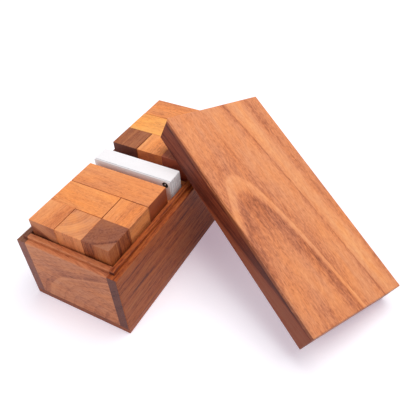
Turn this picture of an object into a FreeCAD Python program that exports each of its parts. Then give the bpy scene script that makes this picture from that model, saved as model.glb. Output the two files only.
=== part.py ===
"""Wooden puzzle box with two seven-piece cubes, a deck of cards and a lift-off lid.

Frame: +Z up, the origin in the middle of the underside of the box, X across the
box, Y along it. The front is -Y. The lid is off and leans on the rear cube with
one corner on the ground. All sizes are in millimetres.
"""

import FreeCAD, Part
import math
import os

doc = FreeCAD.newDocument("PuzzleBox")
sheet = doc.addObject("Spreadsheet::Sheet", "Sizes")

SIZES = [
    ("cell", 25.0, "edge of one small wooden cube"),
    ("play", 0.5, "gap between neighbouring puzzle pieces, side by side"),
    ("stack_gap", 0.2, "gap between puzzle pieces that lie on each other"),
    ("piece_shift", 0.2, "how far a loosely packed piece is out of line"),
    ("well_gap", 1.0, "gap between a puzzle cube and the walls around it"),
    ("wall", 8.5, "thickness of the box walls and lid rails"),
    ("floor_board", 5.5, "thickness of the bottom board"),
    ("box_rise", 63.5, "height of the ledge that the lid sits on"),
    ("lip_rise", 3.0, "height of the lip above that ledge"),
    ("lip_width", 4.5, "thickness of the lip"),
    ("lip_fit", 0.3, "gap between the lip and the lid"),
    ("lid_rise", 23.5, "height of the lid"),
    ("lid_board", 5.5, "thickness of the lid's top board"),
    ("divider", 4.0, "thickness of the boards beside the card slot"),
    ("divider_rise", 56.5, "height of those boards above the bottom board"),
    ("card_slot", 21.6, "width of the card slot"),
    ("card_wide", 74.5, "width of a card"),
    ("card_tall", 75.0, "height of a card"),
    ("card_thick", 0.6, "thickness of a card"),
    ("card_air", 0.02, "air between two cards of the deck"),
    ("front_card_air", 0.8, "air between the front card and the deck"),
    ("card_gap", 0.3, "gap between the cards and what they stand on or lean on"),
    ("deck_count", 23.0, "cards in the deck behind the front card"),
    ("card_shift", 0.35, "how far the cards of the deck are out of line"),
    ("edge_break", 0.5, "chamfer on the worked edges"),
    ("block_break", 0.2, "chamfer on the edges of the puzzle blocks"),
    ("lid_turn", 63.5, "turn of the lid in its own plane, in degrees"),
    ("lid_foot", 12.74, "from the back of the deck to the lid's lowest corner, along the box"),
    ("lid_catch", 8.6, "from the rear cube's back to where the lid's upper rail rests on it"),
    ("lid_gap", 0.3, "gap between the leaning lid and the rear cube"),
]
for row, (alias, value, meaning) in enumerate(SIZES, start=1):
    sheet.set(f"A{row}", meaning)
    sheet.set(f"B{row}", str(value))
    sheet.setAlias(f"B{row}", alias)
doc.recompute()

# What follows from the driving sizes, as expressions on the sheet.
CUBE_SIDE = "(3 * Sizes.cell)"
WELL = f"({CUBE_SIDE} + 2 * Sizes.well_gap)"
BOX_WIDTH = f"({WELL} + 2 * Sizes.wall)"
BOX_LENGTH = f"(2 * {WELL} + 2 * Sizes.divider + Sizes.card_slot + 2 * Sizes.wall)"
LEDGE = "(Sizes.wall - Sizes.lip_width)"
LID_RAIL = "(Sizes.lid_rise - Sizes.lid_board)"
LID_SKIRT = f"({LEDGE} - Sizes.lip_fit)"
LID_RECESS = "(Sizes.lip_rise + Sizes.lip_fit)"
HALF_SLOT = "(Sizes.card_slot / 2)"
HALF_WIDTH = f"({BOX_WIDTH} / 2)"
HALF_LENGTH = f"({BOX_LENGTH} / 2)"
HALF_WELL = f"({WELL} / 2)"
HALF_CUBE = f"({CUBE_SIDE} / 2)"
CARD_PITCH = "(Sizes.card_thick + Sizes.card_air)"
DECK_FRONT = f"(-{HALF_SLOT} + Sizes.card_gap + Sizes.front_card_air)"
DECK_BACK = f"({DECK_FRONT} + Sizes.deck_count * {CARD_PITCH} + Sizes.card_thick)"

# Each cube is seven pieces, and each piece is short bars and cubes glued together.
# A block is given by its first and last cell, counted from the front left bottom
# corner of the cube. The pieces are listed from the bottom up: each one lifts
# straight out once those after it in the list are out.
FRONT_CUBE = {
    "tee": {"bar": ((0, 0, 0), (0, 2, 0)), "stub": ((1, 1, 0), (1, 1, 0))},
    "tripod": {
        "post": ((2, 2, 0), (2, 2, 1)),
        "left_foot": ((1, 2, 0), (1, 2, 0)),
        "front_foot": ((2, 1, 0), (2, 1, 0)),
    },
    "zigzag": {"left_bar": ((0, 0, 1), (0, 1, 1)), "right_bar": ((1, 1, 1), (1, 2, 1))},
    "right_twist": {"low_bar": ((1, 0, 0), (2, 0, 0)), "high_bar": ((2, 0, 1), (2, 1, 1))},
    "ell": {"bar": ((0, 2, 2), (2, 2, 2)), "stub": ((0, 2, 1), (0, 2, 1))},
    "left_twist": {
        "post": ((1, 0, 1), (1, 0, 2)),
        "corner": ((2, 0, 2), (2, 0, 2)),
        "side": ((2, 1, 2), (2, 1, 2)),
    },
    "small_ell": {"bar": ((0, 1, 2), (1, 1, 2)), "stub": ((0, 0, 2), (0, 0, 2))},
}
REAR_CUBE = {
    "right_twist": {"low_bar": ((0, 0, 0), (0, 1, 0)), "post": ((1, 1, 0), (1, 1, 1))},
    "zigzag": {"low_bar": ((1, 0, 0), (2, 0, 0)), "high_bar": ((0, 0, 1), (1, 0, 1))},
    "small_ell": {"bar": ((0, 1, 1), (0, 2, 1)), "stub": ((0, 2, 0), (0, 2, 0))},
    "tripod": {
        "post": ((2, 2, 0), (2, 2, 1)),
        "left_foot": ((1, 2, 0), (1, 2, 0)),
        "front_foot": ((2, 1, 0), (2, 1, 0)),
    },
    "tee": {"bar": ((0, 2, 2), (2, 2, 2)), "stub": ((1, 2, 1), (1, 2, 1))},
    "left_twist": {
        "low_bar": ((2, 0, 1), (2, 1, 1)),
        "corner": ((2, 0, 2), (2, 0, 2)),
        "side": ((1, 0, 2), (1, 0, 2)),
    },
    "ell": {"bar": ((0, 1, 2), (2, 1, 2)), "stub": ((0, 0, 2), (0, 0, 2))},
}

# Pieces that are packed a little out of line: steps to the right and to the back.
SHIFTED = {"front_left_twist": (1, -1), "rear_ell": (-1, 0)}

subparts = []


def number(expression):
    """Value of an expression on the sheet."""
    return float(sheet.evalExpression(expression))


def bind_box(feature, size, corner):
    """Tie a box feature's size and place to the sheet."""
    for name, expression in zip(("Length", "Width", "Height"), size):
        feature.setExpression(name, expression)
    for axis, expression in zip("xyz", corner):
        feature.setExpression(f"Placement.Base.{axis}", expression)


def board_body(label, size, cuts=()):
    """A board in its own body: sawn stock, less any rebates as (size, corner) pairs."""
    body = doc.addObject("PartDesign::Body", label)
    body.Label = label
    stock = body.newObject("PartDesign::AdditiveBox", f"{label}_stock")
    bind_box(stock, size, ("0", "0", "0"))
    for index, (cut_size, cut_corner) in enumerate(cuts):
        cut = body.newObject("PartDesign::SubtractiveBox", f"{label}_cut_{index}")
        bind_box(cut, cut_size, cut_corner)
    doc.recompute()
    subparts.append(body)
    return body


def ease(body, size, is_eased):
    """Chamfer the edges of a body whose middle point passes the test."""
    base = body.Tip
    names = []
    for index, edge in enumerate(base.Shape.Edges, start=1):
        if is_eased(edge.CenterOfMass, edge.tangentAt(edge.FirstParameter)):
            names.append(f"Edge{index}")
    chamfer = body.newObject("PartDesign::Chamfer", f"{body.Name}_eased")
    chamfer.Base = (base, names)
    chamfer.setExpression("Size", size)
    body.Tip = chamfer
    doc.recompute()


def near(value, target):
    """Whether two lengths are the same."""
    return abs(value - target) < 1e-4


def place(body, corner, turn=0.0):
    """Put a board of the box in place, turned about the vertical."""
    body.Placement = FreeCAD.Placement(FreeCAD.Vector(), FreeCAD.Rotation(FreeCAD.Vector(0, 0, 1), turn))
    for axis, expression in zip("xyz", corner):
        body.setExpression(f"Placement.Base.{axis}", expression)


def lid_frame():
    """Where the lid leans: its lowest corner on the ground, its upper rail on the rear cube.

    The lid's plane holds the cube's upper right edge. The slope is the distance down
    that plane from the edge to the ground.
    """
    cube_back = number(f"{HALF_LENGTH} - Sizes.wall - Sizes.well_gap")
    edge_x = number(f"{CUBE_SIDE} / 2 - Sizes.play / 2")
    edge_z = number(f"Sizes.floor_board + {CUBE_SIDE} - Sizes.stack_gap / 2")
    turn = math.radians(number("Sizes.lid_turn"))
    foot_y = number(f"{DECK_BACK} + Sizes.lid_foot")
    foot_to_catch = cube_back - number("Sizes.lid_catch") - foot_y
    catch = number(f"{BOX_LENGTH} - {LID_SKIRT} / 2")
    slope = (catch - math.cos(turn) * foot_to_catch) / math.sin(turn)
    tilt = math.asin((edge_z + number("Sizes.lid_gap")) / slope)
    lean = FreeCAD.Rotation(FreeCAD.Vector(0, 1, 0), math.degrees(tilt))
    in_plane = FreeCAD.Rotation(FreeCAD.Vector(0, 0, 1), math.degrees(turn))
    foot = FreeCAD.Vector(edge_x + slope * math.cos(tilt), foot_y, 0)
    return FreeCAD.Placement(foot, lean.multiply(in_plane))


def place_on_lid(body, corner, turn=0.0):
    """Put a board of the lid in place; the lid's lowest corner is its own origin."""
    spot = FreeCAD.Vector(*(number(expression) for expression in corner))
    local = FreeCAD.Placement(spot, FreeCAD.Rotation(FreeCAD.Vector(0, 0, 1), turn))
    body.Placement = lid_frame().multiply(local)


def wall_panel(label, length, setback, corner, turn):
    """A wall of the box: outer face at X = 0, a ledge outside and a lip inside.

    The lip stops short of both ends by the setback, where another wall's ledge passes.
    """
    rise = "(Sizes.box_rise - Sizes.floor_board)"
    full = f"({rise} + Sizes.lip_rise)"
    cuts = [((LEDGE, length, "Sizes.lip_rise"), ("0", "0", rise))]
    if setback:
        for start in ("0", f"{length} - {setback}"):
            cuts.append((("Sizes.wall", setback, "Sizes.lip_rise"), ("0", start, rise)))
    panel = board_body(label, ("Sizes.wall", length, full), cuts)
    lip_top = number(full)
    ledge_top = number(rise)
    run = number(length)

    def is_eased(middle, direction):
        along = abs(direction.y) > 0.9
        upright = abs(direction.z) > 0.9
        corner_edge = upright and near(middle.x, 0) and setback
        lip_edge = near(middle.z, lip_top)
        ledge_edge = along and near(middle.x, 0) and near(middle.z, ledge_top)
        inside_ends = setback or not (near(middle.y, 0) or near(middle.y, run))
        return corner_edge or ((lip_edge or ledge_edge) and inside_ends)

    ease(panel, "Sizes.edge_break", is_eased)
    place(panel, corner, turn)


def lid_rail(label, length, setback, corner, turn):
    """A rail of the lid: outer face at X = 0, rebated inside to pass over the lip."""
    recess_width = f"(Sizes.wall - {LID_SKIRT})"
    recess_run = f"({length} - 2 * {setback})" if setback else length
    cuts = [((recess_width, recess_run, LID_RECESS), (LID_SKIRT, setback or "0", "0"))]
    rail = board_body(label, ("Sizes.wall", length, LID_RAIL), cuts)

    def is_eased(middle, direction):
        along = abs(direction.y) > 0.9
        upright = abs(direction.z) > 0.9
        bottom_edge = along and near(middle.x, 0) and near(middle.z, 0)
        return bottom_edge or (upright and near(middle.x, 0) and bool(setback))

    ease(rail, "Sizes.edge_break", is_eased)
    place_on_lid(rail, corner, turn)


def divider_board(label, front_face):
    """A thin upright board between a puzzle cube and the card slot."""
    board = board_body(label, (WELL, "Sizes.divider", "Sizes.divider_rise"))
    top = number("Sizes.divider_rise")
    ease(board, "Sizes.edge_break", lambda middle, direction: near(middle.z, top) and abs(direction.x) > 0.9)
    place(board, (f"-{HALF_WELL}", front_face, "Sizes.floor_board"))


def card(name, corner):
    """One card, standing upright."""
    sheet_of_card = doc.addObject("Part::Box", name)
    bind_box(sheet_of_card, ("Sizes.card_wide", "Sizes.card_thick", "Sizes.card_tall"), corner)
    return sheet_of_card


def cells_of(block):
    """All cells of a block, from its first and last one."""
    first, last = block
    spans = [range(first[axis], last[axis] + 1) for axis in range(3)]
    return {(x, y, z) for x in spans[0] for y in spans[1] for z in spans[2]}


def is_glued(block, mates, axis, step):
    """Whether a block's face towards the step along the axis is glued to its own piece."""
    for cell in cells_of(block):
        beyond = tuple(cell[k] + (step if k == axis else 0) for k in range(3))
        if any(beyond in cells_of(mate) for mate in mates):
            return True
    return False


def puzzle_block(label, block, mates, corner):
    """One bar or cube of a puzzle piece, in its place in the closed puzzle cube."""
    first, last = block
    gaps = ("Sizes.play / 2", "Sizes.play / 2", "Sizes.stack_gap / 2")
    size = []
    start = []
    for axis, gap in enumerate(gaps):
        count = last[axis] - first[axis] + 1
        low = "0" if is_glued(block, mates, axis, -1) else gap
        high = "0" if is_glued(block, mates, axis, 1) else gap
        size.append(f"{count} * Sizes.cell - {low} - {high}")
        start.append(f"{corner[axis]} + {first[axis]} * Sizes.cell + {low}")
    body = board_body(label, size)
    ease(body, "Sizes.block_break", lambda middle, direction: True)
    place(body, start)


def puzzle_cube(prefix, pieces, corner):
    """All the blocks of one puzzle cube."""
    for piece, blocks in pieces.items():
        right, back = SHIFTED.get(f"{prefix}_{piece}", (0, 0))
        spot = (
            f"{corner[0]} + {right} * Sizes.piece_shift",
            f"{corner[1]} + {back} * Sizes.piece_shift",
            corner[2],
        )
        for name, block in blocks.items():
            mates = [other for other in blocks.values() if other is not block]
            puzzle_block(f"{prefix}_{piece}_{name}", block, mates, spot)


# The box: a bottom board, two long sides, and two ends between them.
floor_body = board_body("box_floor", (BOX_WIDTH, BOX_LENGTH, "Sizes.floor_board"))


def is_outer_edge(middle, direction):
    """The bottom board's lower edges and its upright corners."""
    return near(middle.z, 0) or abs(direction.z) > 0.9


ease(floor_body, "Sizes.edge_break", is_outer_edge)
place(floor_body, (f"-{HALF_WIDTH}", f"-{HALF_LENGTH}", "0"))

on_floor = "Sizes.floor_board"
wall_panel("box_side_left", BOX_LENGTH, LEDGE, (f"-{HALF_WIDTH}", f"-{HALF_LENGTH}", on_floor), 0)
wall_panel("box_side_right", BOX_LENGTH, LEDGE, (HALF_WIDTH, HALF_LENGTH, on_floor), 180)
wall_panel("box_end_front", WELL, None, (HALF_WELL, f"-{HALF_LENGTH}", on_floor), 90)
wall_panel("box_end_rear", WELL, None, (f"-{HALF_WELL}", HALF_LENGTH, on_floor), -90)
divider_board("slot_divider_front", f"-{HALF_SLOT} - Sizes.divider")
divider_board("slot_divider_rear", HALF_SLOT)

# The cards: one in front and the deck behind it, against the front divider.
card_left = "-Sizes.card_wide / 2"
card_bottom = "Sizes.floor_board + Sizes.card_gap"
card_front = f"-{HALF_SLOT} + Sizes.card_gap"
front_card = card("front_card", (card_left, card_front, card_bottom))
front_card.Label = "front_card"
subparts.append(front_card)
deck = doc.addObject("Part::Compound", "card_deck")
deck.Label = "card_deck"
deck_cards = []
for index in range(1, int(number("Sizes.deck_count")) + 1):
    shift = math.sin(2.4 * index)
    left = f"{card_left} + {shift:.3f} * Sizes.card_shift"
    front = f"{DECK_FRONT} + {index} * {CARD_PITCH}"
    deck_cards.append(card(f"deck_card_{index}", (left, front, card_bottom)))
deck.Links = deck_cards
subparts.append(deck)

# The two puzzle cubes, one at each end of the box.
front_cube_corner = (f"-{HALF_CUBE}", f"-{HALF_LENGTH} + Sizes.wall + Sizes.well_gap", on_floor)
rear_cube_corner = (f"-{HALF_CUBE}", f"{HALF_SLOT} + Sizes.divider + Sizes.well_gap", on_floor)
puzzle_cube("front", FRONT_CUBE, front_cube_corner)
puzzle_cube("rear", REAR_CUBE, rear_cube_corner)

# The lid, in its own frame: X across from -width to 0, Y along, the rails' feet at Z = 0.
lid_left = f"-{BOX_WIDTH}"
lid_top = board_body("lid_top", (BOX_WIDTH, BOX_LENGTH, "Sizes.lid_board"))
lid_top_rise = number("Sizes.lid_board")


def is_lid_edge(middle, direction):
    """The top board's upper edges and its upright corners."""
    return near(middle.z, lid_top_rise) or abs(direction.z) > 0.9


ease(lid_top, "Sizes.edge_break", is_lid_edge)
place_on_lid(lid_top, (lid_left, "0", LID_RAIL))
lid_rail("lid_rail_left", BOX_LENGTH, LID_SKIRT, (lid_left, "0", "0"), 0)
lid_rail("lid_rail_right", BOX_LENGTH, LID_SKIRT, ("0", BOX_LENGTH, "0"), 180)
lid_rail("lid_rail_lower", WELL, None, ("-Sizes.wall", "0", "0"), 90)
lid_rail("lid_rail_upper", WELL, None, (f"{lid_left} + Sizes.wall", BOX_LENGTH, "0"), -90)

doc.recompute()

failed = [item.Label for item in doc.Objects if "Invalid" in item.State or "Error" in item.State]
if failed:
    raise RuntimeError(f"objects that did not build: {failed}")
for subpart in subparts:
    if subpart.Shape.isNull() or not subpart.Shape.isValid():
        raise RuntimeError(f"{subpart.Label} has no valid shape")

os.makedirs("parts", exist_ok=True)
for subpart in subparts:
    subpart.Shape.exportStep(f"parts/{subpart.Label}.step")
print(f"{len(subparts)} sub-parts, box {number(BOX_WIDTH):.1f} x {number(BOX_LENGTH):.1f} mm")
print(f"lid foot and lean: {lid_frame()}")
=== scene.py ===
"""Looks of an oiled hardwood puzzle box: two packed cubes, a deck of cards and the leaning lid."""
import logging
import math
from collections.abc import Iterable, Sequence
from dataclasses import dataclass, field, replace
from enum import Enum
from typing import ClassVar, NamedTuple

import bpy
from mathutils import Matrix, Vector


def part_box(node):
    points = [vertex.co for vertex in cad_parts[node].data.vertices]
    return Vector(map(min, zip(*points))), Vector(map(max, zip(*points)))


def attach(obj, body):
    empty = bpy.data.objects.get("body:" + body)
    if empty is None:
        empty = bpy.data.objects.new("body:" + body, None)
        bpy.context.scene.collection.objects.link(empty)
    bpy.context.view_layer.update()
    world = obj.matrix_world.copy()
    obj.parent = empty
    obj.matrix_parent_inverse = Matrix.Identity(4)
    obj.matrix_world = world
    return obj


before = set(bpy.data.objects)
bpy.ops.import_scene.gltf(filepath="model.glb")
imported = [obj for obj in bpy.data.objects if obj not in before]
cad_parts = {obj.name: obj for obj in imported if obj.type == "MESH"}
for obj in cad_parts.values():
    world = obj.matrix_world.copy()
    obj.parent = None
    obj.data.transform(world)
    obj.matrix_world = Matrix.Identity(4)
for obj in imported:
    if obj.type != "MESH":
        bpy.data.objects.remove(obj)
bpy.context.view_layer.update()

LOG = logging.getLogger("puzzle_box")
MM = 0.001
Triple = tuple[float, float, float]
Stops = tuple[tuple[float, float], ...]
# Sockets of a Mix node that mixes colours, which share their names with its other sockets.
COLOUR_A, COLOUR_B, MIXED = 6, 7, 2


class Grain(Enum):
    """Which way the fibres of a piece run."""

    ACROSS = (1.0, 0.0, 0.0)
    ALONG = (0.0, 1.0, 0.0)
    UPRIGHT = (0.0, 0.0, 1.0)


def linear(colour: str) -> Triple:
    """Turn an sRGB hex colour into linear red, green and blue.

    Args:
        colour: The colour as #RRGGBB.

    Returns:
        The three linear values, each from 0 to 1.
    """
    parts = [int(colour[i:i + 2], 16) / 255 for i in (1, 3, 5)]
    return tuple(p / 12.92 if p <= 0.04045 else ((p + 0.055) / 1.055) ** 2.4 for p in parts)


def add_node(tree: bpy.types.NodeTree, kind: str, inputs: dict | None = None,
             stops: Sequence | None = None, **settings: object) -> bpy.types.Node:
    """Add one shader node, with its settings, its socket values and its links.

    Args:
        tree: The node tree that gets the node.
        kind: Blender's name of the node type.
        inputs: Socket name or number, to a value or to the output socket that feeds it.
        stops: Places and linear colours or greys, where the node is a colour ramp.
        settings: Attributes of the node.

    Returns:
        The new node.
    """
    node = tree.nodes.new(kind)
    for name, value in settings.items():
        setattr(node, name, value)
    for name, value in (inputs or {}).items():
        if isinstance(value, bpy.types.NodeSocket):
            tree.links.new(value, node.inputs[name])
        else:
            node.inputs[name].default_value = value
    if stops:
        ramp = node.color_ramp.elements
        while len(ramp) < len(stops):
            ramp.new(1.0)
        for element, (place, colour) in zip(ramp, stops):
            element.position = place
            element.color = (*(colour if isinstance(colour, tuple) else (colour,) * 3), 1.0)
    return node


def blank_material(name: str) -> tuple[bpy.types.Material, bpy.types.NodeTree]:
    """Make a material with an empty node tree.

    Args:
        name: The material's name.

    Returns:
        The material and its tree.
    """
    material = bpy.data.materials.new(name)
    material.use_nodes = True
    material.node_tree.nodes.clear()
    return material, material.node_tree


def wear(piece: bpy.types.Object, material: bpy.types.Material) -> None:
    """Put one material on all of a piece's slots.

    Args:
        piece: The piece to dress.
        material: Its material.
    """
    if not piece.material_slots:
        piece.data.materials.append(material)
    for slot in piece.material_slots:
        slot.material = material


@dataclass(frozen=True)
class Band:
    """A flat layer where the wood is drawn darker: a dark glue joint, and painted shade.

    It has a point in its middle, its reach each way in mm, its tone and the way it faces.
    """

    point: Triple
    reach: float
    depth: float
    normal: Triple = (0.0, 0.0, 1.0)


@dataclass(frozen=True)
class Noise:
    """One noise in the wood: its size across the grain in mm, and how it is squeezed along it."""

    size: float
    along: float
    detail: float
    rough: float


class Layer(NamedTuple):
    """A pattern that shades the wood: its mask, its weight, and the mask's usual value."""

    mask: bpy.types.NodeSocket
    weight: float
    middle: float = 0.5


@dataclass(frozen=True)
class WoodFinish:
    """Raintree heartwood, planed, sanded and rubbed with oil, which leaves a soft sheen.

    The rings stand round the pith of the log that the board was sawn from, so long grain and
    end grain agree on every face. One tone, from 0 for dark latewood to 1 for pale sapwood,
    carries all the figure, and a ramp turns it into the wood's colours. Sizes are in mm.
    """

    name: str
    base: str
    pith: Triple
    grain: Triple
    zones: Stops = ((0.0, 0.50), (5.0, 0.56), (9.0, 0.44), (12.0, 0.36), (13.0, 0.50))
    ring: float = 3.1
    ring_depth: float = 0.08
    wander: float = 6.0
    streak: float = 0.60
    streak_width: float = 2.6
    fibre: float = 0.70
    pores: float = 0.16
    speckle: float = 0.40
    curl: float = 0.6
    mottle: float = 0.45
    hue: float = 0.80
    end: str = ""
    bands: tuple[Band, ...] = ()
    roughness: float = 0.46

    # What the colour does from the darkest to the palest tone, against the base colour. Dark
    # wood loses green and blue first, and pale wood gains mostly these two.
    TONES: ClassVar[tuple[tuple[float, Triple], ...]] = (
        (0.0, (0.34, 0.25, 0.26)), (0.25, (0.71, 0.61, 0.62)), (0.5, (1.0, 1.0, 1.0)),
        (0.75, (1.14, 1.28, 1.32)), (1.0, (1.22, 1.58, 1.72)))
    BRIGHTEST: ClassVar[float] = 0.93
    # End grain drinks the oil and looks duller, unless a finish gives its own colour.
    END_SHARES: ClassVar[Triple] = (0.60, 0.52, 0.66)
    # Heartwood drifts between a redder and a yellower brown over a centimetre or so.
    HUES: ClassVar[tuple[tuple[float, Triple], ...]] = (
        (0.34, (0.95, 1.0, 1.14)), (0.66, (1.05, 1.0, 0.86)))
    # Only a face that is nearly square to the fibres counts as end grain. Pores and fibres are
    # weaker there, where they are dots too small to see.
    END_SHARPNESS: ClassVar[float] = 6.0
    END_CALM: ClassVar[float] = -0.80
    # Rings drift over 40 mm. Fibres are drawn 1 mm wide, coarser than the real 0.2 mm, so that
    # they show. Pores are dashes of 0.7 by 7 mm, and the lustre is short pale curls.
    NOISES: ClassVar[dict[str, Noise]] = {
        "drift": Noise(40.0, 0.16, 2.0, 0.55), "fibre": Noise(1.0, 0.05, 3.0, 0.75),
        "dash": Noise(0.7, 0.10, 1.0, 0.50), "lustre": Noise(1.7, 0.40, 2.0, 0.65),
        "cloud": Noise(17.0, 0.30, 2.0, 0.50), "hue": Noise(9.0, 0.25, 3.0, 0.60)}
    # Streaks run nearly the whole board, and each finish gives them its own width.
    STREAK: ClassVar[Noise] = Noise(2.6, 0.02, 3.0, 0.60)
    # Where the noise of the dashes begins and ends to be a pore.
    PORE_EDGES: ClassVar[tuple[float, float]] = (0.58, 0.74)
    PORE_MIDDLE: ClassVar[float] = 0.1
    # The dark line grows steeply towards the end of its ring, so it is thin, and its mean low.
    LINE_SHARPNESS: ClassVar[float] = 3.0
    LINE_MIDDLE: ClassVar[float] = 0.25
    # Pores are cut deeper than the fibres stand up, and the oil shines least in them.
    PORE_CUT: ClassVar[float] = -1.5
    RELIEF: ClassVar[float] = 0.12
    RELIEF_STRENGTH: ClassVar[float] = 0.35
    DULLER: ClassVar[float] = 0.10
    SHINIER: ClassVar[float] = 0.06
    IOR: ClassVar[float] = 1.48
    SPECULAR: ClassVar[float] = 0.25

    def palette(self, base: Triple) -> list[tuple[float, Triple]]:
        """Return the places and linear colours of the tone ramp round a base colour."""
        return [(place, tuple(min(c * k, self.BRIGHTEST) for c, k in zip(base, factors)))
                for place, factors in self.TONES]

    def patterns(self, tree: bpy.types.NodeTree,
                 log: bpy.types.NodeSocket) -> dict[str, bpy.types.NodeSocket]:
        """Add the noises of the wood, each squeezed along the grain so that it grows long.

        Args:
            tree: The material's node tree.
            log: The log's own coordinates in millimetres, with the grain along Z.

        Returns:
            The name of each pattern, to the socket of its strength.
        """
        made = {}
        noises = {**self.NOISES, "streak": replace(self.STREAK, size=self.streak_width)}
        for name, noise in noises.items():
            squeezed = add_node(tree, "ShaderNodeVectorMath", {
                0: log, 1: (1.0, 1.0, noise.along)}, operation="MULTIPLY")
            made[name] = add_node(tree, "ShaderNodeTexNoise", {
                "Vector": squeezed.outputs[0], "Scale": 1 / noise.size,
                "Detail": noise.detail, "Roughness": noise.rough,
                "Distortion": self.curl if name == "lustre" else 0.0}).outputs[0]
        low, high = self.PORE_EDGES
        made["pore"] = add_node(tree, "ShaderNodeMapRange", {
            "Value": made["dash"], "From Min": low, "From Max": high}).outputs[0]
        return made

    def rings(self, tree: bpy.types.NodeTree, log: bpy.types.NodeSocket,
              drift: bpy.types.NodeSocket) -> tuple[bpy.types.NodeSocket, bpy.types.NodeSocket]:
        """Add the broad zones and the fine yearly rings round the pith.

        Args:
            tree: The material's node tree.
            log: The log's own coordinates in millimetres.
            drift: The noise that pushes the rings in and out.

        Returns:
            The tone of the zones, and the dark line that ends each ring.
        """
        flat = add_node(tree, "ShaderNodeVectorMath", {0: log, 1: (1.0, 1.0, 0.0)},
                        operation="MULTIPLY")
        length = add_node(tree, "ShaderNodeVectorMath", {0: flat.outputs[0]}, operation="LENGTH")
        pushed = add_node(tree, "ShaderNodeMath", {
            0: drift, 1: 2 * self.wander, 2: length.outputs["Value"]}, operation="MULTIPLY_ADD")
        radius = add_node(tree, "ShaderNodeMath", {0: pushed.outputs[0], 1: self.wander},
                          operation="SUBTRACT").outputs[0]
        span = self.zones[-1][0]
        parts = []
        for width in (span, self.ring):
            turns = add_node(tree, "ShaderNodeMath", {0: radius, 1: width}, operation="DIVIDE")
            parts.append(add_node(tree, "ShaderNodeMath", {0: turns.outputs[0]},
                                  operation="FRACT").outputs[0])
        zone, ring = parts
        tone = add_node(tree, "ShaderNodeValToRGB", {"Fac": zone},
                        stops=[(mm / span, shade) for mm, shade in self.zones])
        line = add_node(tree, "ShaderNodeMath", {0: ring, 1: self.LINE_SHARPNESS},
                        operation="POWER")
        return tone.outputs["Color"], line.outputs[0]

    def darkened(self, tree: bpy.types.NodeTree, place: bpy.types.NodeSocket,
                 band: Band) -> bpy.types.NodeSocket:
        """Add the mask of one darkened layer.

        Args:
            tree: The material's node tree.
            place: The object's coordinates in metres.
            band: The layer.

        Returns:
            The mask, 1 inside the layer.
        """
        normal = Vector(band.normal).normalized()
        height = add_node(tree, "ShaderNodeVectorMath", {0: place, 1: normal},
                          operation="DOT_PRODUCT").outputs["Value"]
        return add_node(tree, "ShaderNodeMath", {
            0: height, 1: normal.dot(Vector(band.point)) * MM, 2: band.reach * MM},
            operation="COMPARE").outputs[0]

    def end_grain(self, tree: bpy.types.NodeTree,
                  normal: bpy.types.NodeSocket) -> bpy.types.NodeSocket:
        """Add the mask of the faces that are cut across the fibres.

        Args:
            tree: The material's node tree.
            normal: The way that the face looks.

        Returns:
            The mask, 1 on end grain and 0 on long grain.
        """
        facing = add_node(tree, "ShaderNodeVectorMath", {
            0: normal, 1: Vector(self.grain).normalized()}, operation="DOT_PRODUCT")
        across = add_node(tree, "ShaderNodeMath", {0: facing.outputs["Value"]},
                          operation="ABSOLUTE")
        return add_node(tree, "ShaderNodeMath", {
            0: across.outputs[0], 1: self.END_SHARPNESS}, operation="POWER").outputs[0]

    @staticmethod
    def shaded(tree: bpy.types.NodeTree, tone: float | bpy.types.NodeSocket,
               layers: Iterable[Layer]) -> bpy.types.NodeSocket:
        """Add layers to a tone, each centred on its usual value and then weighted.

        Args:
            tree: The material's node tree.
            tone: The tone to start from.
            layers: The patterns to add.

        Returns:
            The sum.
        """
        for layer in layers:
            centred = add_node(tree, "ShaderNodeMath", {0: layer.mask, 1: layer.middle},
                               operation="SUBTRACT")
            tone = add_node(tree, "ShaderNodeMath", {
                0: centred.outputs[0], 1: layer.weight, 2: tone},
                operation="MULTIPLY_ADD").outputs[0]
        return tone

    def tone(self, tree: bpy.types.NodeTree, place: bpy.types.NodeSocket,
             log: bpy.types.NodeSocket, noise: dict[str, bpy.types.NodeSocket],
             end: bpy.types.NodeSocket) -> bpy.types.NodeSocket:
        """Add up the figure of the wood.

        Args:
            tree: The material's node tree.
            place: The object's coordinates in metres.
            log: The log's own coordinates in millimetres.
            noise: The wood's patterns.
            end: The mask of the end grain, which calms the finest ones.

        Returns:
            The tone, from 0 for the darkest wood to 1 for the palest.
        """
        zone, line = self.rings(tree, log, noise["drift"])
        fine = self.shaded(tree, 0.0, (
            Layer(noise["fibre"], self.fibre), Layer(noise["pore"], -self.pores, self.PORE_MIDDLE),
            Layer(noise["lustre"], self.speckle)))
        broad = self.shaded(tree, zone, (
            Layer(line, -self.ring_depth, self.LINE_MIDDLE),
            Layer(noise["streak"], self.streak), Layer(noise["cloud"], self.mottle),
            *(Layer(self.darkened(tree, place, band), band.depth, 0.0) for band in self.bands)))
        calm = add_node(tree, "ShaderNodeMath", {0: end, 1: self.END_CALM, 2: 1.0},
                        operation="MULTIPLY_ADD")
        return add_node(tree, "ShaderNodeMath", {0: fine, 1: calm.outputs[0], 2: broad},
                        operation="MULTIPLY_ADD").outputs[0]

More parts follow.
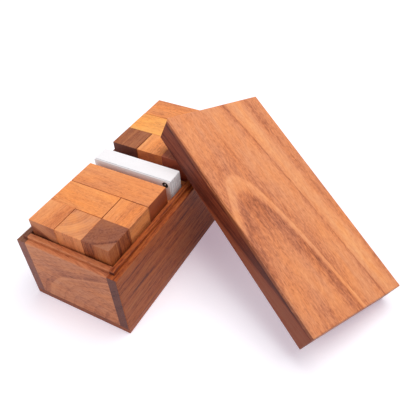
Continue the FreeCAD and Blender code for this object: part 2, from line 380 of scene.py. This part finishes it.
    def colour(self, tree: bpy.types.NodeTree, tone: bpy.types.NodeSocket,
               drift: bpy.types.NodeSocket, end: bpy.types.NodeSocket) -> bpy.types.NodeSocket:
        """Turn the tone into the wood's colours.

        Args:
            tree: The material's node tree.
            tone: The tone of the figure.
            drift: The noise between the redder and the yellower brown.
            end: The mask of the end grain.

        Returns:
            The colour.
        """
        base = linear(self.base)
        dull = (linear(self.end) if self.end
                else tuple(c * k for c, k in zip(base, self.END_SHARES)))
        long_cut, end_cut = (
            add_node(tree, "ShaderNodeValToRGB", {"Fac": tone},
                     stops=self.palette(middle)).outputs["Color"] for middle in (base, dull))
        plain = add_node(tree, "ShaderNodeMix", {
            "Factor": end, COLOUR_A: long_cut, COLOUR_B: end_cut}, data_type="RGBA")
        hue = add_node(tree, "ShaderNodeValToRGB", {"Fac": drift}, stops=self.HUES)
        return add_node(tree, "ShaderNodeMix", {
            "Factor": self.hue, COLOUR_A: plain.outputs[MIXED], COLOUR_B: hue.outputs["Color"]},
            data_type="RGBA", blend_type="MULTIPLY").outputs[MIXED]

    def material(self) -> bpy.types.Material:
        """Build the wood.

        Returns:
            The material, in which one unit of the log's own coordinates is a millimetre.
        """
        material, tree = blank_material(f"oiled_raintree_{self.name}")
        place = add_node(tree, "ShaderNodeTexCoord")
        log = add_node(tree, "ShaderNodeMapping", {
            "Vector": place.outputs["Object"], "Location": [c * MM for c in self.pith],
            "Rotation": Vector(self.grain).to_track_quat("Z", "Y").to_euler(),
            "Scale": (MM, MM, MM)}, vector_type="TEXTURE").outputs[0]
        noise = self.patterns(tree, log)
        end = self.end_grain(tree, place.outputs["Normal"])
        tone = self.tone(tree, place.outputs["Object"], log, noise, end)
        height = add_node(tree, "ShaderNodeMath", {
            0: noise["pore"], 1: self.PORE_CUT, 2: noise["fibre"]},
            operation="MULTIPLY_ADD").outputs[0]
        bump = add_node(tree, "ShaderNodeBump", {
            "Height": height, "Strength": self.RELIEF_STRENGTH, "Distance": self.RELIEF * MM})
        rough = add_node(tree, "ShaderNodeMapRange", {
            "Value": height, "To Min": self.roughness + self.DULLER,
            "To Max": self.roughness - self.SHINIER})
        shader = add_node(tree, "ShaderNodeBsdfPrincipled", {
            "Base Color": self.colour(tree, tone, noise["hue"], end),
            "Roughness": rough.outputs[0], "Normal": bump.outputs[0],
            "IOR": self.IOR, "Specular IOR Level": self.SPECULAR})
        add_node(tree, "ShaderNodeOutputMaterial", {"Surface": shader.outputs[0]})
        return material


@dataclass(frozen=True)
class CardFinish:
    """Uncoated white card stock, cut with a guillotine.

    Its faces are matt and faintly mottled by the pulp. Faint painted shade runs along the cut
    edges every few cards, in the gaps where the deck has spread.
    """

    name: str = "white_card_stock_cut"
    face: str = "#FBF8FA"
    # The colour of the painted shade in the gaps, and of the pulp's darker spots.
    shade: str = "#D3C9D6"
    bunch: float = 1.9
    pulp: float = 0.8

    # Where the noise of the spread begins and ends to be painted shade, and how dark it gets.
    GAP_SHADE_EDGES: ClassVar[tuple[float, float]] = (0.54, 0.68)
    GAP_SHADE_DEPTH: ClassVar[float] = 0.2
    # The upper edges catch the light from above, which hides most of the painted shade.
    TOP_SHARE: ClassVar[float] = 0.22
    MOTTLE: ClassVar[float] = 0.06
    RELIEF: ClassVar[float] = -0.05
    RELIEF_STRENGTH: ClassVar[float] = 0.3
    ROUGHNESS: ClassVar[tuple[float, float]] = (0.72, 0.88)
    IOR: ClassVar[float] = 1.45

    def gap_shade(self, tree: bpy.types.NodeTree, place: bpy.types.Node) -> bpy.types.NodeSocket:
        """Add the painted shade in the gaps between bunches of cards, which stand one behind the
        other along Y.

        Args:
            tree: The material's node tree.
            place: The node with the object's coordinates and normals.

        Returns:
            The strength of the painted shade, which is 0 on the faces of the cards.
        """
        parts = add_node(tree, "ShaderNodeSeparateXYZ", {"Vector": place.outputs["Object"]})
        depth = add_node(tree, "ShaderNodeMath", {0: parts.outputs["Y"], 1: 1 / MM},
                         operation="MULTIPLY")
        spread = add_node(tree, "ShaderNodeTexNoise", {
            "W": depth.outputs[0], "Scale": 1 / self.bunch, "Detail": 2.0, "Roughness": 0.7},
            noise_dimensions="1D")
        low, high = self.GAP_SHADE_EDGES
        line = add_node(tree, "ShaderNodeMapRange", {
            "Value": spread.outputs[0], "From Min": low, "From Max": high,
            "To Max": self.GAP_SHADE_DEPTH})
        normal = add_node(tree, "ShaderNodeSeparateXYZ", {"Vector": place.outputs["Normal"]})
        side, up = (add_node(tree, "ShaderNodeMath", {0: normal.outputs[axis]},
                             operation="ABSOLUTE").outputs[0] for axis in "XZ")
        top = add_node(tree, "ShaderNodeMath", {0: up, 1: self.TOP_SHARE}, operation="MULTIPLY")
        edge = add_node(tree, "ShaderNodeMath", {0: side, 1: top.outputs[0]}, operation="MAXIMUM")
        return add_node(tree, "ShaderNodeMath", {0: line.outputs[0], 1: edge.outputs[0]},
                        operation="MULTIPLY").outputs[0]

    def material(self) -> bpy.types.Material:
        """Build the card stock.

        Returns:
            The material.
        """
        material, tree = blank_material(self.name)
        place = add_node(tree, "ShaderNodeTexCoord")
        pulp = add_node(tree, "ShaderNodeTexNoise", {
            "Vector": place.outputs["Object"], "Scale": 1 / (self.pulp * MM),
            "Detail": 3.0}).outputs[0]
        # The mask is the pulp's mottle plus the painted shade of the gaps.
        mottle = add_node(tree, "ShaderNodeMath", {
            0: pulp, 1: self.MOTTLE, 2: self.gap_shade(tree, place)},
            operation="MULTIPLY_ADD").outputs[0]
        colour = add_node(tree, "ShaderNodeMix", {
            "Factor": mottle, COLOUR_A: (*linear(self.face), 1.0),
            COLOUR_B: (*linear(self.shade), 1.0)}, data_type="RGBA")
        bump = add_node(tree, "ShaderNodeBump", {
            "Height": mottle, "Strength": self.RELIEF_STRENGTH, "Distance": self.RELIEF * MM})
        smooth, coarse = self.ROUGHNESS
        rough = add_node(tree, "ShaderNodeMapRange", {
            "Value": pulp, "To Min": smooth, "To Max": coarse})
        shader = add_node(tree, "ShaderNodeBsdfPrincipled", {
            "Base Color": colour.outputs[MIXED], "Roughness": rough.outputs[0],
            "Normal": bump.outputs[0], "IOR": self.IOR})
        add_node(tree, "ShaderNodeOutputMaterial", {"Surface": shader.outputs[0]})
        return material


@dataclass(frozen=True)
class InkFinish:
    """Offset printing ink on card: flat and slightly uneven, because card takes it up in spots."""

    name: str
    solid: str
    thin: str
    spots: float = 0.3

    INK_EDGES: ClassVar[tuple[float, float]] = (0.35, 0.75)
    ROUGHNESS: ClassVar[tuple[float, float]] = (0.45, 0.65)
    IOR: ClassVar[float] = 1.5

    def material(self) -> bpy.types.Material:
        """Build the ink.

        Returns:
            The material.
        """
        material, tree = blank_material(self.name)
        place = add_node(tree, "ShaderNodeTexCoord")
        mottle = add_node(tree, "ShaderNodeTexNoise", {
            "Vector": place.outputs["Object"], "Scale": 1 / (self.spots * MM),
            "Detail": 2.0}).outputs[0]
        colour = add_node(tree, "ShaderNodeValToRGB", {"Fac": mottle}, stops=list(
            zip(self.INK_EDGES, (linear(self.solid), linear(self.thin)))))
        smooth, coarse = self.ROUGHNESS
        rough = add_node(tree, "ShaderNodeMapRange", {
            "Value": mottle, "To Min": smooth, "To Max": coarse})
        shader = add_node(tree, "ShaderNodeBsdfPrincipled", {
            "Base Color": colour.outputs["Color"], "Roughness": rough.outputs[0],
            "IOR": self.IOR})
        add_node(tree, "ShaderNodeOutputMaterial", {"Surface": shader.outputs[0]})
        return material


def dress_boards(finishes: Iterable[WoodFinish]) -> list[str]:
    """Give each board its own piece of the log.

    Args:
        finishes: The finishes, each named for the board's node.

    Returns:
        The names of the boards.
    """
    names = []
    for finish in finishes:
        wear(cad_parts[finish.name], finish.material())
        names.append(finish.name)
    return names


@dataclass
class Case:
    """The box: four panels round a bottom board, and the two dividers of the card slot."""

    floor_board: float = 5.5
    glue_reach: float = 0.45
    # Height and reach of the band of painted shade round the top of the walls.
    rebate_middle: float = 66.2
    rebate_reach: float = 2.9

    def finishes(self) -> tuple[WoodFinish, ...]:
        """Choose where in the log each board lies.

        Returns:
            The finish of each board.
        """
        # A dark line where the bottom board is glued on, and painted shade on a band round the top
        # of the walls, over the ledge and lip of the rebate for the lid.
        glue_line = Band((0.0, 0.0, self.floor_board), self.glue_reach, -0.28)
        rim_shade, faint_rim_shade = (Band((0.0, 0.0, self.rebate_middle), self.rebate_reach, depth)
                               for depth in (-0.12, -0.08))
        # Flat-sawn arcs on the front panel: a pale ring and a dark line close the darker heart.
        arcs = ((0.0, 0.50), (77.0, 0.44), (80.0, 0.38), (83.5, 0.42), (87.0, 0.52),
                (91.0, 0.52), (92.0, 0.66), (92.8, 0.66), (93.2, 0.33), (95.0, 0.36),
                (98.0, 0.50), (101.0, 0.47), (105.0, 0.62), (109.0, 0.72), (120.0, 0.50))
        # Dark lines run the whole length of the right side.
        long_lines = ((0.0, 0.50), (46.0, 0.50), (50.0, 0.56), (57.0, 0.58), (60.0, 0.50),
                      (62.0, 0.36), (62.8, 0.26), (63.6, 0.32), (64.2, 0.52), (67.0, 0.60),
                      (70.0, 0.54), (72.0, 0.38), (73.0, 0.24), (73.8, 0.44), (75.5, 0.50),
                      (77.2, 0.34), (78.2, 0.44), (80.0, 0.52), (84.0, 0.60), (95.0, 0.50))
        return (
            WoodFinish("box_end_front", "#C3754D", (0.0, -12.7, 5.6), (1.0, -0.219, 0.0),
                       zones=arcs, ring=2.3, ring_depth=0.17, wander=2.2, streak=0.35,
                       mottle=0.50, speckle=0.50, fibre=0.85, bands=(glue_line, faint_rim_shade),
                       end="#A87466"),
            WoodFinish("box_end_rear", "#C5774E", (10.0, 40.0, 20.0), (1.0, 0.20, -0.04),
                       ring_depth=0.14, bands=(glue_line, rim_shade)),
            # The right side's base colour is partly its own darker wood and partly painted shade:
            # it is lowered all over for the lid's shadow on its middle and rear.
            WoodFinish("box_side_right", "#A55023", (92.0, 0.0, -8.0), (0.02, 1.0, 0.03),
                       zones=long_lines, streak=1.5, streak_width=2.0, ring_depth=0.16,
                       wander=1.8, fibre=1.9, pores=0.30, speckle=0.90,
                       bands=(glue_line, rim_shade), end="#612E22"),
            WoodFinish("box_side_left", "#80513A", (-90.0, 0.0, 10.0), (-0.02, 1.0, 0.04),
                       streak=1.0, streak_width=2.2, ring_depth=0.12, ring=3.4, fibre=1.2,
                       pores=0.24, speckle=0.60, bands=(glue_line, rim_shade), end="#83493B"),
            WoodFinish("box_floor", "#B26240", (5.0, 0.0, -40.0), (0.02, 1.0, 0.03),
                       bands=(glue_line,), end="#8C431F"),
            WoodFinish("slot_divider_front", "#DE8A52", (0.0, 20.0, 10.0), (1.0, 0.04, 0.02)),
            WoodFinish("slot_divider_rear", "#DE8A52", (0.0, -22.0, 6.0), (1.0, 0.03, -0.03)),
        )

    def dress(self) -> list[str]:
        """Dress the box's boards, and return their names."""
        return dress_boards(self.finishes())


@dataclass
class Lid:
    """The lid, which leans from the floor onto the rear cube, open side down."""

    turn: float = 63.5
    tilt: float = 25.1305
    foot: Triple = (209.287, 17.9, 0.0)
    height: float = 23.5
    board_foot: float = 18.0

    def axes(self) -> Matrix:
        """Work out the lid's own axes in the common frame.

        Returns:
            The axes as columns: across, along its length, and up from its top board.
        """
        turn, tilt = math.radians(self.turn), math.radians(self.tilt)
        return Matrix((
            (math.cos(turn) * math.cos(tilt), -math.sin(turn) * math.cos(tilt), math.sin(tilt)),
            (math.sin(turn), math.cos(turn), 0.0),
            (-math.cos(turn) * math.sin(tilt), math.sin(turn) * math.sin(tilt), math.cos(tilt))))

    def at(self, across: float, along: float, up: float) -> Triple:
        """Turn a place on the lid into the common frame.

        Args:
            across: Millimetres across the lid, from its lowest corner.
            along: Millimetres along the lid's length.
            up: Millimetres above the lid's open rim.

        Returns:
            The point in the common frame, in millimetres.
        """
        return tuple(Vector(self.foot) + self.axes() @ Vector((across, along, up)))

    def way(self, across: float, along: float, up: float) -> Triple:
        """Return a direction on the lid in the common frame."""
        return tuple(self.axes() @ Vector((across, along, up)))

    def glue_line(self, reach: float, depth: float) -> Band:
        """Return the dark layer where the top board is glued onto the rails; its reach widens the
        glue joint into painted shade along the board's edge.
        """
        return Band(self.at(0.0, 0.0, self.board_foot), reach, depth, self.way(0.0, 0.0, 1.0))

    def finishes(self) -> tuple[WoodFinish, ...]:
        """Choose where in the log each board lies.

        Returns:
            The finish of each board.
        """
        # The pith lies deep under the top board and rises slowly towards its low end, so the
        # rings are cut there as arches that open towards that end, and far from it as stripes.
        arches = ((0.0, 0.50), (37.0, 0.52), (40.0, 0.42), (43.0, 0.54), (45.6, 0.46),
                  (47.6, 0.30), (49.8, 0.18), (50.2, 0.22), (50.7, 0.54), (51.3, 0.60),
                  (51.9, 0.88), (52.3, 0.36), (54.0, 0.38), (57.0, 0.52), (61.0, 0.60),
                  (65.0, 0.58), (67.3, 0.48), (68.6, 0.36), (69.1, 0.20), (69.6, 0.58),
                  (74.0, 0.80), (78.0, 0.72), (81.0, 0.54), (84.1, 0.38), (85.6, 0.47),
                  (89.0, 0.42), (93.0, 0.52), (104.0, 0.52))
        # A black line climbs along the left rail, with red-brown wood below it.
        climbing = ((0.0, 0.50), (42.5, 0.98), (44.0, 0.66), (45.5, 0.95), (47.5, 0.70),
                    (49.2, 0.95), (50.6, 0.78), (52.2, 0.56), (53.4, 0.07), (56.0, 0.02),
                    (57.8, 0.18), (59.6, 0.36), (61.2, 0.24), (63.0, 0.50), (66.0, 0.38),
                    (70.0, 0.48), (90.0, 0.45))
        # The rails get the glue joint, widened to 2 mm of painted shade under the top board.
        rail = {"streak": 1.1, "streak_width": 1.9, "ring": 2.7, "ring_depth": 0.12,
                "wander": 4.0, "fibre": 1.3, "pores": 0.24,
                "bands": (self.glue_line(2.0, -0.24),)}
        return (
            # The lower 3 mm of the top board's edge get the glue joint, widened into painted
            # shade.
            WoodFinish("lid_top", "#DE8B5B", self.at(-74.9, 0.0, self.height - 39.0),
                       self.way(0.0, 1.0, -0.0975), zones=arches, ring=1.3, ring_depth=0.05,
                       wander=1.1, streak=0.30, fibre=0.65, pores=0.08, speckle=0.70,
                       end="#A8623F", bands=(self.glue_line(3.0, -0.46),)),
            WoodFinish("lid_rail_left", "#803B25", self.at(-60.0, 70.0, -30.0),
                       self.way(0.0, 1.0, -0.109), zones=climbing, **rail),
            WoodFinish("lid_rail_right", "#AF6243", self.at(-40.0, 0.0, -30.0),
                       self.way(0.02, 1.0, 0.02), **rail),
            WoodFinish("lid_rail_lower", "#B86A48", self.at(-50.0, 40.0, -20.0),
                       self.way(1.0, 0.02, 0.03), **rail),
            WoodFinish("lid_rail_upper", "#A55C40", self.at(-50.0, 150.0, -24.0),
                       self.way(1.0, 0.03, -0.03), **rail),
        )

    def dress(self) -> list[str]:
        """Dress the lid's boards, and return their names."""
        return dress_boards(self.finishes())


@dataclass(frozen=True)
class Billet:
    """The stick that one block of a cube was cut from, with its pith from the block's middle."""

    node: str
    base: str
    grain: Grain
    pith: Triple
    figure: dict[str, object] = field(default_factory=dict)


@dataclass
class Cubes:
    """The two packed cubes, each of seven pieces glued from sticks of different wood."""

    # The blocks that show only when the cubes are taken apart come from these woods in turn,
    # each with the pith at another distance and angle from its middle.
    woods: tuple[str, ...] = ("#E8965E", "#D5804F", "#B5694A", "#F0A468", "#A9603F", "#DD8C5A")
    pith_near: float = 30.0
    pith_step: float = 5.0
    pith_places: int = 5
    pith_turn: float = 2.4
    # No stick is sawn exactly along its fibres.
    lean: float = 0.05
    lean_turn: float = 1.7

    # A block shows little of a ring, so its figure is mostly short curls across the grain.
    BLOCK: ClassVar[dict[str, float]] = {
        "wander": 3.5, "streak": 0.45, "fibre": 0.55, "speckle": 0.75, "curl": 1.6}

    def seen(self) -> tuple[Billet, ...]:
        """Choose the sticks of the blocks that show in the closed cubes.

        Returns:
            The billet of each of those blocks.
        """
        # One stub has a dark heart with a pale rim.
        heart = ((0.0, 0.50), (34.0, 0.24), (41.0, 0.06), (43.0, 0.22), (44.5, 0.60),
                 (47.0, 0.66), (51.0, 0.58), (53.0, 0.40), (57.0, 0.36), (58.6, 0.52),
                 (64.0, 0.55))
        # The dark corner beside it has a black line through its end grain.
        black_line = ((0.0, 0.40), (20.0, 0.34), (30.0, 0.42), (40.0, 0.34), (44.0, 0.40),
                      (46.0, 0.30), (46.8, 0.04), (47.6, 0.10), (48.6, 0.60), (54.0, 0.66),
                      (60.0, 0.45))
        return (
            Billet("front_ell_bar", "#E28C56", Grain.ACROSS, (0, 8, -44),
                   {"streak": 0.25, "end": "#A14E2B"}),
            Billet("front_small_ell_bar", "#E98F51", Grain.ACROSS, (0, -12, -40),
                   {"streak": 0.2, "speckle": 0.8}),
            Billet("front_small_ell_stub", "#E18B55", Grain.ALONG, (-24, 0, -34),
                   {"streak": 0.4, "mottle": 0.6, "wander": 1.5, "end": "#BE724C",
                    "zones": heart}),
            Billet("front_left_twist_post", "#D7804F", Grain.UPRIGHT, (-22, 16, 0),
                   {"ring_depth": 0.16, "ring": 2.6, "mottle": 0.5, "speckle": 0.7,
                    "streak": 0.25, "end": "#DE8F5C"}),
            Billet("front_left_twist_corner", "#A85931", Grain.UPRIGHT, (-21, 31.7, 0),
                   {"streak": 0.7, "streak_width": 1.6, "fibre": 2.0, "ring_depth": 0.12,
                    "wander": 1.2, "end": "#9C5E42", "zones": black_line}),
            Billet("front_left_twist_side", "#E78E53", Grain.ALONG, (14, 0, -38),
                   {"streak": 0.3}),
            Billet("rear_tee_bar", "#E99054", Grain.ACROSS, (0, 12, -40)),
            Billet("rear_ell_bar", "#F6A458", Grain.ACROSS, (0, -10, -44), {"streak": 0.25}),
            Billet("rear_ell_stub", "#A15E3A", Grain.ALONG, (16, 0, -30),
                   {"streak": 0.8, "ring_depth": 0.14, "fibre": 1.2, "speckle": 0.9,
                    "end": "#67352A"}),
            Billet("rear_left_twist_side", "#EC9456", Grain.ALONG, (18, 0, -36),
                   {"end": "#C96F41"}),
            Billet("rear_left_twist_corner", "#B05C3E", Grain.ALONG, (12, 0, -30),
                   {"end": "#A34E37"}),
        )

    def hidden(self, index: int, name: str, size: Vector) -> Billet:
        """Choose the stick of a block that shows only when its cube is taken apart.

        Args:
            index: The block's number among all the blocks.
            name: The block's node.
            size: The block's size in millimetres.

        Returns:
            The billet, with the fibres along the block's longest side.
        """
        longest = max(range(3), key=lambda axis: (round(size[axis], 1), axis))
        distance = self.pith_near + self.pith_step * (index % self.pith_places)
        angle = index * self.pith_turn
        pith = [distance * math.cos(angle), distance * math.sin(angle)]
        pith.insert(longest, 0.0)
        return Billet(name, self.woods[index % len(self.woods)], tuple(Grain)[longest],
                      tuple(pith))

    def dress(self) -> list[str]:
        """Dress the blocks of both cubes.

        Returns:
            Their names.
        """
        seen = {billet.node: billet for billet in self.seen()}
        blocks = sorted(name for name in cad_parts
                        if name.startswith(("front_", "rear_")) and name != "front_card")
        finishes = []
        for index, name in enumerate(blocks):
            low, high = (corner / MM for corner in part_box(name))
            billet = seen.get(name) or self.hidden(index, name, high - low)
            lean = self.lean * math.sin(index * self.lean_turn)
            finishes.append(WoodFinish(
                name, billet.base, tuple((low + high) / 2 + Vector(billet.pith)),
                tuple(part + lean for part in billet.grain.value),
                **{**self.BLOCK, **billet.figure}))
        return dress_boards(finishes)


@dataclass
class Cards:
    """The challenge cards, and the number printed in the corner of the front one."""

    spot: float = 5.4
    from_side: float = 4.5
    from_top: float = 4.2
    ink: float = 0.05
    rim: float = 0.015
    digit: float = 3.0
    digit_lift: float = 0.06
    digit_half: float = 0.01
    digit_bold: float = 0.03

    UPRIGHT: ClassVar[Triple] = (math.pi / 2, 0.0, 0.0)

    def dress(self) -> list[str]:
        """Dress the deck and the front card, and print the number.

        Returns:
            The names of the pieces.
        """
        stock = CardFinish().material()
        names = ["front_card", "card_deck"]
        for name in names:
            wear(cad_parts[name], stock)
        low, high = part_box("front_card")
        centre = Vector((high.x - self.from_side * MM, low.y, high.z - self.from_top * MM))
        spot, figure = self.print_spot(centre), self.print_figure(centre)
        for piece, finish in ((spot, InkFinish("black_offset_ink", "#0B0A0C", "#1B191D")),
                              (figure, InkFinish("bare_card_in_the_spot", "#FFFDFF", "#F4F0F4"))):
            wear(piece, finish.material())
            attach(piece, "front_card")
        return [*names, spot.name, figure.name]

    def print_spot(self, centre: Vector) -> bpy.types.Object:
        """Model the black spot as a film of ink with a soft rim.

        Args:
            centre: The middle of the spot, on the front of the card.

        Returns:
            The spot.
        """
        bpy.ops.object.select_all(action="DESELECT")
        bpy.ops.mesh.primitive_cylinder_add(
            vertices=48, radius=self.spot / 2 * MM, depth=self.ink * MM,
            location=centre - Vector((0, self.ink / 2 * MM, 0)), rotation=self.UPRIGHT)
        spot = bpy.context.object
        spot.name = "number_spot"
        bpy.ops.object.transform_apply(location=True, rotation=True, scale=True)
        bpy.ops.object.mode_set(mode="EDIT")
        bpy.ops.mesh.select_all(action="SELECT")
        bpy.ops.mesh.bevel(offset=self.rim * MM, segments=2, affect="EDGES")
        bpy.ops.object.mode_set(mode="OBJECT")
        return spot

    def print_figure(self, centre: Vector) -> bpy.types.Object:
        """Model the white figure, a hair in front of the spot.

        Args:
            centre: The middle of the spot, on the front of the card.

        Returns:
            The figure, as a mesh.
        """
        bpy.ops.object.select_all(action="DESELECT")
        bpy.ops.object.text_add(location=centre - Vector((0, self.digit_lift * MM, 0)),
                                rotation=self.UPRIGHT)
        figure = bpy.context.object
        figure.name = "number_nine"
        figure.data.body = "9"
        figure.data.size = self.digit * MM
        figure.data.align_x, figure.data.align_y = "CENTER", "CENTER"
        figure.data.extrude = self.digit_half * MM
        figure.data.offset = self.digit_bold * MM
        bpy.ops.object.convert(target="MESH")
        bpy.ops.object.transform_apply(location=True, rotation=True, scale=True)
        return figure


@dataclass(frozen=True)
class SoftLamp:
    """A square soft box: where it hangs, its side in metres and its watts."""

    name: str
    place: Triple
    size: float
    power: float


@dataclass
class Studio:
    """Pale floor, a large soft lamp above, a weak one in front, an even surround, and the camera.

    All is in metres. The floor lies a hair under the object, so that the two never share a
    plane. The camera's own axes point right, down and ahead.
    """

    floor_size: float = 8.0
    floor_place: Triple = (0.05, 0.0, -0.0003)
    floor_bounce: str = "#EAF1F1"
    floor_glow: str = "#A0909E"
    floor_near: float = 0.5
    floor_far: float = 1.8
    floor_lift: float = 2.9
    surround: float = 0.28
    lamps: tuple[SoftLamp, ...] = (
        SoftLamp("overhead", (0.48, 0.34, 1.70), 1.4, 24.0),
        SoftLamp("front_fill", (-0.60, -1.30, 0.90), 1.2, 9.0),
    )
    middle: Triple = (0.06, 0.0, 0.03)
    eye: Triple = (0.22829, -0.26341, 0.34373)
    right: Triple = (0.8753, 0.4800, -0.0593)
    down: Triple = (0.2898, -0.6187, -0.7302)
    ahead: Triple = (-0.3872, 0.6219, -0.6807)
    lens: float = 45.288
    sensor: float = 36.0

    @staticmethod
    def seen_directly(tree: bpy.types.NodeTree) -> bpy.types.NodeSocket:
        """Add the mask of what is looked at, as against what lights the object.

        Args:
            tree: The node tree of the floor or the surround.

        Returns:
            1 for what is seen directly, in a gloss or through glass, and 0 for other light.
        """
        path = add_node(tree, "ShaderNodeLightPath")
        either = add_node(tree, "ShaderNodeMath", {
            0: path.outputs["Is Camera Ray"], 1: path.outputs["Is Glossy Ray"]},
            operation="MAXIMUM")
        return add_node(tree, "ShaderNodeMath", {
            0: either.outputs[0], 1: path.outputs["Is Transmission Ray"]},
            operation="MAXIMUM").outputs[0]

    def build_floor(self) -> None:
        """Lay a matt pale floor that keeps its shadows, and looks white far from the object."""
        bpy.ops.object.select_all(action="DESELECT")
        bpy.ops.mesh.primitive_plane_add(size=self.floor_size, location=self.floor_place)
        floor = bpy.context.object
        floor.name = "studio_floor"
        material, tree = blank_material("matt_backdrop_paper")
        matt = add_node(tree, "ShaderNodeBsdfDiffuse", {
            "Color": (*linear(self.floor_bounce), 1.0)})
        place = add_node(tree, "ShaderNodeTexCoord")
        distance = add_node(tree, "ShaderNodeVectorMath", {0: place.outputs["Object"]},
                            operation="LENGTH")
        far = add_node(tree, "ShaderNodeMapRange", {
            "Value": distance.outputs["Value"], "From Min": self.floor_near,
            "From Max": self.floor_far, "To Min": 1.0, "To Max": self.floor_lift})
        strength = add_node(tree, "ShaderNodeMath", {
            0: far.outputs[0], 1: self.seen_directly(tree)}, operation="MULTIPLY")
        glow = add_node(tree, "ShaderNodeEmission", {
            "Color": (*linear(self.floor_glow), 1.0), "Strength": strength.outputs[0]})
        both = add_node(tree, "ShaderNodeAddShader", {0: matt.outputs[0], 1: glow.outputs[0]})
        add_node(tree, "ShaderNodeOutputMaterial", {"Surface": both.outputs[0]})
        wear(floor, material)

    def build_surround(self) -> None:
        """Make the world white to look at, and dim as a light."""
        world = bpy.data.worlds.new("studio_surround")
        bpy.context.scene.world = world
        world.use_nodes = True
        tree = world.node_tree
        tree.nodes.clear()
        strength = add_node(tree, "ShaderNodeMapRange", {
            "Value": self.seen_directly(tree), "To Min": self.surround, "To Max": 1.0})
        back = add_node(tree, "ShaderNodeBackground", {
            "Color": (*linear("#FFFFFF"), 1.0), "Strength": strength.outputs[0]})
        add_node(tree, "ShaderNodeOutputWorld", {"Surface": back.outputs[0]})

    def build_lamps(self) -> None:
        """Hang the soft lamps, each turned to the middle of the object."""
        for soft in self.lamps:
            data = bpy.data.lights.new(soft.name, "AREA")
            data.shape, data.size, data.energy = "SQUARE", soft.size, soft.power
            lamp = bpy.data.objects.new(soft.name, data)
            bpy.context.scene.collection.objects.link(lamp)
            lamp.location = soft.place
            aim = Vector(self.middle) - lamp.location
            lamp.rotation_euler = aim.to_track_quat("-Z", "Y").to_euler()

    def build_camera(self) -> None:
        """Stand the camera above the front right corner."""
        data = bpy.data.cameras.new("camera")
        data.lens, data.sensor_width = self.lens, self.sensor
        camera = bpy.data.objects.new("camera", data)
        bpy.context.scene.collection.objects.link(camera)
        # Blender's camera looks along its own -Z, with Y up.
        up, back = [-c for c in self.down], [-c for c in self.ahead]
        axes = Matrix((self.right, up, back)).transposed()
        camera.matrix_world = Matrix.Translation(self.eye) @ axes.to_4x4()
        bpy.context.scene.camera = camera

    def build(self) -> None:
        """Build the camera, the floor and the light."""
        self.build_camera()
        self.build_floor()
        self.build_surround()
        self.build_lamps()
        bpy.context.scene.view_settings.view_transform = "Standard"


def main() -> None:
    """Build the studio, then dress and finish each part of the puzzle box in order."""
    logging.basicConfig(level=logging.INFO, format="%(message)s")
    Studio().build()
    for name, part in (("box", Case()), ("cubes", Cubes()), ("cards", Cards()), ("lid", Lid())):
        for piece in part.dress():
            LOG.info("%s: dressed %s", name, piece)


if __name__ == "__main__":
    main()
